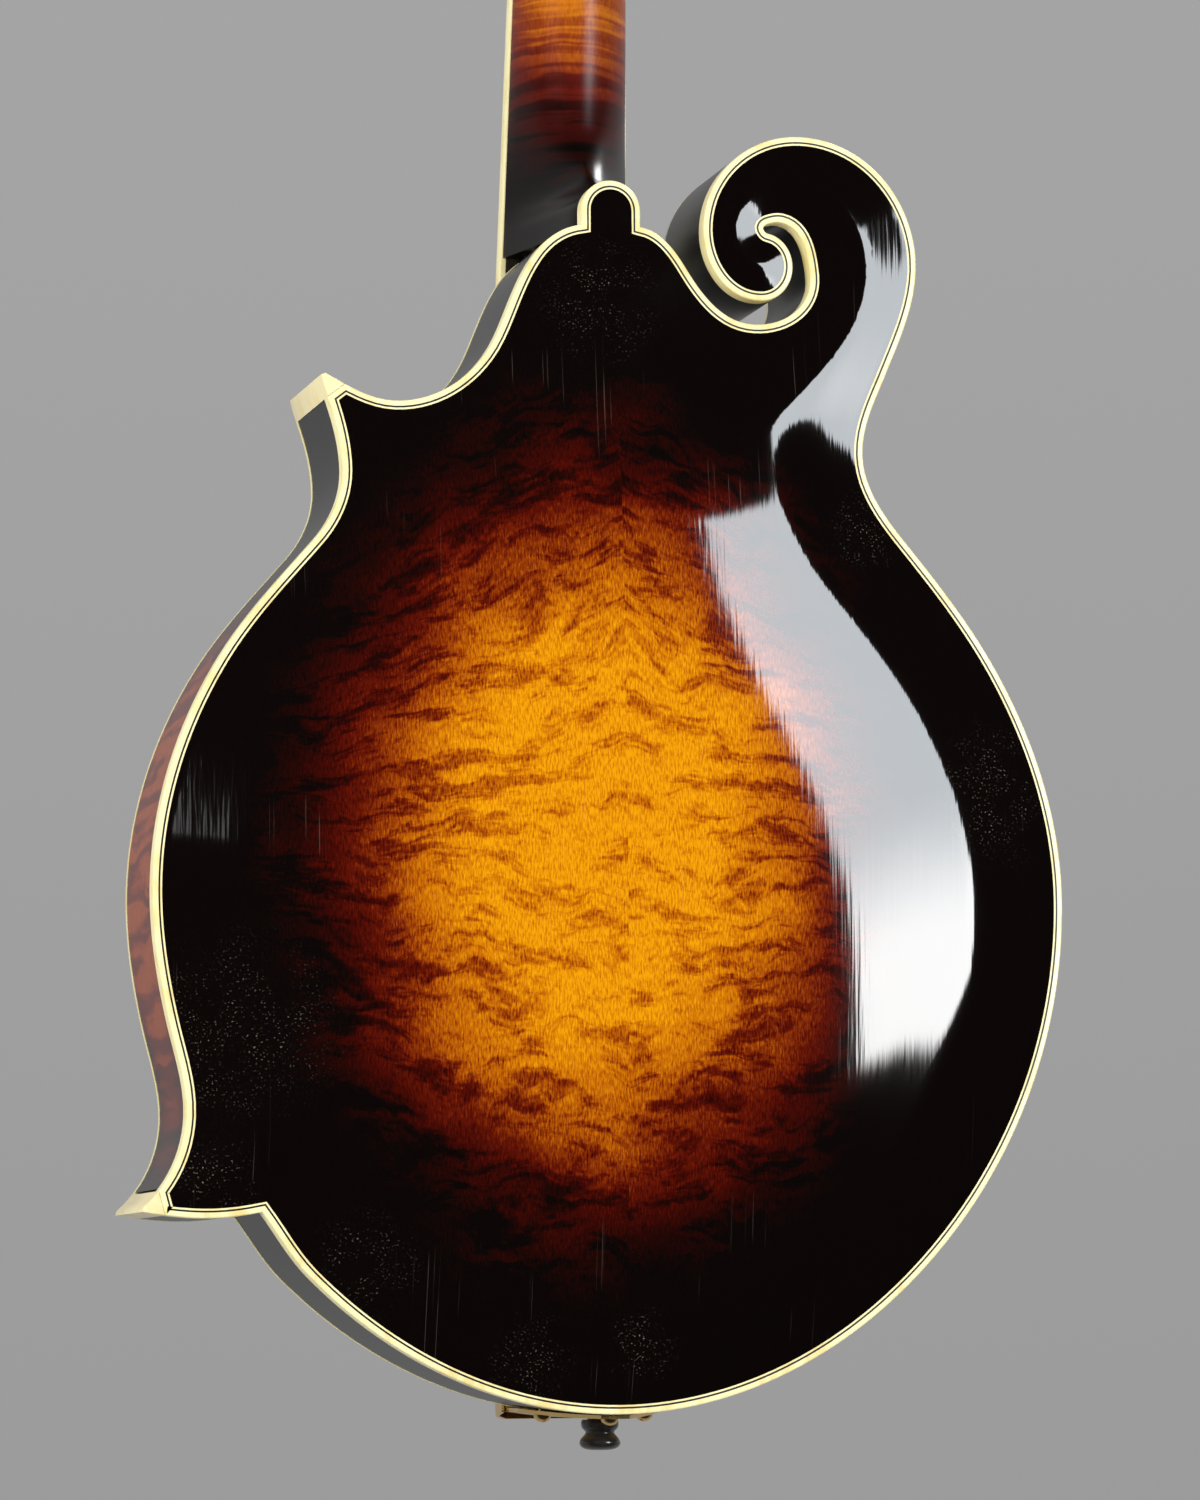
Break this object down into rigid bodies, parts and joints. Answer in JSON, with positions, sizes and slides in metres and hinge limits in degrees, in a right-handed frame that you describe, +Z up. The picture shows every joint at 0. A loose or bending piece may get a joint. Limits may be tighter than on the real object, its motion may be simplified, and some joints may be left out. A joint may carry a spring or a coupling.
{
  "type": "f-style mandolin",
  "caption": "F-style mandolin with a carved arched back and top, a body scroll and two points, paired strings on geared tuners, a wheel-set bridge and a covered tailpiece.",
  "frame": {"origin": "centre of the end pin's flat outer face, below the tail of the body", "axes": "+Z up the neck to the headstock, +Y out of the carved back, +X to the treble side with the two points; the soundboard faces -Y and the scroll is on -X"},
  "size_m": [0.256, 0.1124, 0.6987],
  "materials": {
    "maple_back": "flamed maple in a gloss sunburst, amber in the middle, red-brown to black at the edge",
    "spruce_top": "straight-grained spruce in a gloss sunburst",
    "maple_rib": "flamed maple in a dark gloss sunburst",
    "neck_maple": "flamed maple, amber on the shaft and black at the heel, gloss",
    "scroll_block": "maple stained near black, gloss",
    "inner_wood": "bare wood",
    "ebony": "polished ebony",
    "black_veneer": "black veneer, gloss",
    "binding": "aged cream celluloid with a gloss",
    "point_cap": "aged ivoroid with a gloss",
    "bone": "polished bone",
    "gold_plate": "gold plate, lightly worn",
    "wheel_brass": "turned brass",
    "wound_string": "bronze winding",
    "steel": "drawn steel wire"
  },
  "bodies": {
    "instrument": {"back_plate": "maple_back", "top_plate": "spruce_top", "back_binding": "binding", "top_binding": "binding", "lower_point_cap": "point_cap", "upper_point_cap": "point_cap", "rib_bass": "maple_rib", "rib_treble_lower": "maple_rib", "rib_treble_waist": "maple_rib", "rib_cutaway": "maple_rib", "head_block": "scroll_block", "tail_block": "inner_wood", "upper_point_block": "inner_wood", "lower_point_block": "inner_wood", "back_lining_bass": "inner_wood", "back_lining_treble": "inner_wood", "top_lining_bass": "inner_wood", "top_lining_treble": "inner_wood", "bass_tone_bar": "inner_wood", "treble_tone_bar": "inner_wood", "neck": "neck_maple", "truss_rod": "steel", "headstock_veneer": "black_veneer", "truss_rod_cover": "black_veneer", "fingerboard": "ebony", "fingerboard_binding": "binding", "nut": "bone", "tuner_plate_bass": "gold_plate", "tuner_plate_treble": "gold_plate", "bridge_base": "ebony", "tailpiece_plate": "gold_plate", "end_pin": "ebony", "string_g1": "wound_string", "string_g2": "wound_string", "string_d1": "wound_string", "string_d2": "wound_string", "string_a1": "steel", "string_a2": "steel", "string_e1": "steel", "string_e2": "steel"},
    "saddle": {"bridge_saddle": "ebony"},
    "wheel_bass": {"thumbwheel_bass": "wheel_brass"},
    "wheel_treble": {"thumbwheel_treble": "wheel_brass"},
    "cover": {"tailpiece_cover": "gold_plate"},
    "button_g1": {"worm_bass_g1": "gold_plate"},
    "button_g2": {"worm_bass_g2": "gold_plate"},
    "button_d1": {"worm_bass_d1": "gold_plate"},
    "button_d2": {"worm_bass_d2": "gold_plate"},
    "button_e1": {"worm_treble_e1": "gold_plate"},
    "button_e2": {"worm_treble_e2": "gold_plate"},
    "button_a1": {"worm_treble_a1": "gold_plate"},
    "button_a2": {"worm_treble_a2": "gold_plate"},
    "post_g1": {"gear_bass_g1": "gold_plate"},
    "post_g2": {"gear_bass_g2": "gold_plate"},
    "post_d1": {"gear_bass_d1": "gold_plate"},
    "post_d2": {"gear_bass_d2": "gold_plate"},
    "post_e1": {"gear_treble_e1": "gold_plate"},
    "post_e2": {"gear_treble_e2": "gold_plate"},
    "post_a1": {"gear_treble_a1": "gold_plate"},
    "post_a2": {"gear_treble_a2": "gold_plate"}
  },
  "joints": [
    {"name": "button_g1_turn", "type": "hinge", "parent": "instrument", "child": "button_g1", "pos_m": [-0.023, 0.01467, 0.56119], "axis": [1, 0, 0], "continuous": true},
    {"name": "button_g2_turn", "type": "hinge", "parent": "instrument", "child": "button_g2", "pos_m": [-0.023, 0.02242, 0.58284], "axis": [1, 0, 0], "continuous": true},
    {"name": "button_d1_turn", "type": "hinge", "parent": "instrument", "child": "button_d1", "pos_m": [-0.023, 0.03017, 0.6045], "axis": [1, 0, 0], "continuous": true},
    {"name": "button_d2_turn", "type": "hinge", "parent": "instrument", "child": "button_d2", "pos_m": [-0.023, 0.03793, 0.62615], "axis": [1, 0, 0], "continuous": true},
    {"name": "button_e1_turn", "type": "hinge", "parent": "instrument", "child": "button_e1", "pos_m": [0.023, 0.01467, 0.56119], "axis": [1, 0, 0], "continuous": true},
    {"name": "button_e2_turn", "type": "hinge", "parent": "instrument", "child": "button_e2", "pos_m": [0.023, 0.02242, 0.58284], "axis": [1, 0, 0], "continuous": true},
    {"name": "button_a1_turn", "type": "hinge", "parent": "instrument", "child": "button_a1", "pos_m": [0.023, 0.03017, 0.6045], "axis": [1, 0, 0], "continuous": true},
    {"name": "button_a2_turn", "type": "hinge", "parent": "instrument", "child": "button_a2", "pos_m": [0.023, 0.03793, 0.62615], "axis": [1, 0, 0], "continuous": true},
    {"name": "post_g1_turn", "type": "hinge", "parent": "instrument", "child": "post_g1", "pos_m": [-0.023, -0.00014, 0.57472], "axis": [0, -0.9415, 0.3371], "continuous": true},
    {"name": "post_g2_turn", "type": "hinge", "parent": "instrument", "child": "post_g2", "pos_m": [-0.023, 0.00762, 0.59637], "axis": [0, -0.9415, 0.3371], "continuous": true},
    {"name": "post_d1_turn", "type": "hinge", "parent": "instrument", "child": "post_d1", "pos_m": [-0.023, 0.01537, 0.61803], "axis": [0, -0.9415, 0.3371], "continuous": true},
    {"name": "post_d2_turn", "type": "hinge", "parent": "instrument", "child": "post_d2", "pos_m": [-0.023, 0.02312, 0.63968], "axis": [0, -0.9415, 0.3371], "continuous": true},
    {"name": "post_e1_turn", "type": "hinge", "parent": "instrument", "child": "post_e1", "pos_m": [0.023, -0.00014, 0.57472], "axis": [0, -0.9415, 0.3371], "continuous": true},
    {"name": "post_e2_turn", "type": "hinge", "parent": "instrument", "child": "post_e2", "pos_m": [0.023, 0.00762, 0.59637], "axis": [0, -0.9415, 0.3371], "continuous": true},
    {"name": "post_a1_turn", "type": "hinge", "parent": "instrument", "child": "post_a1", "pos_m": [0.023, 0.01537, 0.61803], "axis": [0, -0.9415, 0.3371], "continuous": true},
    {"name": "post_a2_turn", "type": "hinge", "parent": "instrument", "child": "post_a2", "pos_m": [0.023, 0.02312, 0.63968], "axis": [0, -0.9415, 0.3371], "continuous": true},
    {"name": "saddle_lift", "type": "slide", "parent": "instrument", "child": "saddle", "axis": [0, -1, 0], "range_m": [-0.0018, 0]},
    {"name": "wheel_bass_turn", "type": "hinge", "parent": "saddle", "child": "wheel_bass", "pos_m": [-0.027, -0.04494, 0.19482], "axis": [0, -1, 0], "range_deg": [-810, 0]},
    {"name": "wheel_treble_turn", "type": "hinge", "parent": "saddle", "child": "wheel_treble", "pos_m": [0.027, -0.04494, 0.19482], "axis": [0, -1, 0], "range_deg": [-810, 0]},
    {"name": "cover_slide", "type": "slide", "parent": "instrument", "child": "cover", "axis": [0, -0.1822, 0.9833], "range_m": [0, 0.066]}
  ],
  "couplings": [
    {"joint": "post_g1_turn", "follows": "button_g1_turn", "ratio": 0.0625},
    {"joint": "post_g2_turn", "follows": "button_g2_turn", "ratio": 0.0625},
    {"joint": "post_d1_turn", "follows": "button_d1_turn", "ratio": 0.0625},
    {"joint": "post_d2_turn", "follows": "button_d2_turn", "ratio": 0.0625},
    {"joint": "post_e1_turn", "follows": "button_e1_turn", "ratio": -0.0625},
    {"joint": "post_e2_turn", "follows": "button_e2_turn", "ratio": -0.0625},
    {"joint": "post_a1_turn", "follows": "button_a1_turn", "ratio": -0.0625},
    {"joint": "post_a2_turn", "follows": "button_a2_turn", "ratio": -0.0625},
    {"joint": "wheel_bass_turn", "follows": "saddle_lift", "rad_per_m": 7853.9},
    {"joint": "wheel_treble_turn", "follows": "saddle_lift", "rad_per_m": 7853.9}
  ]
}
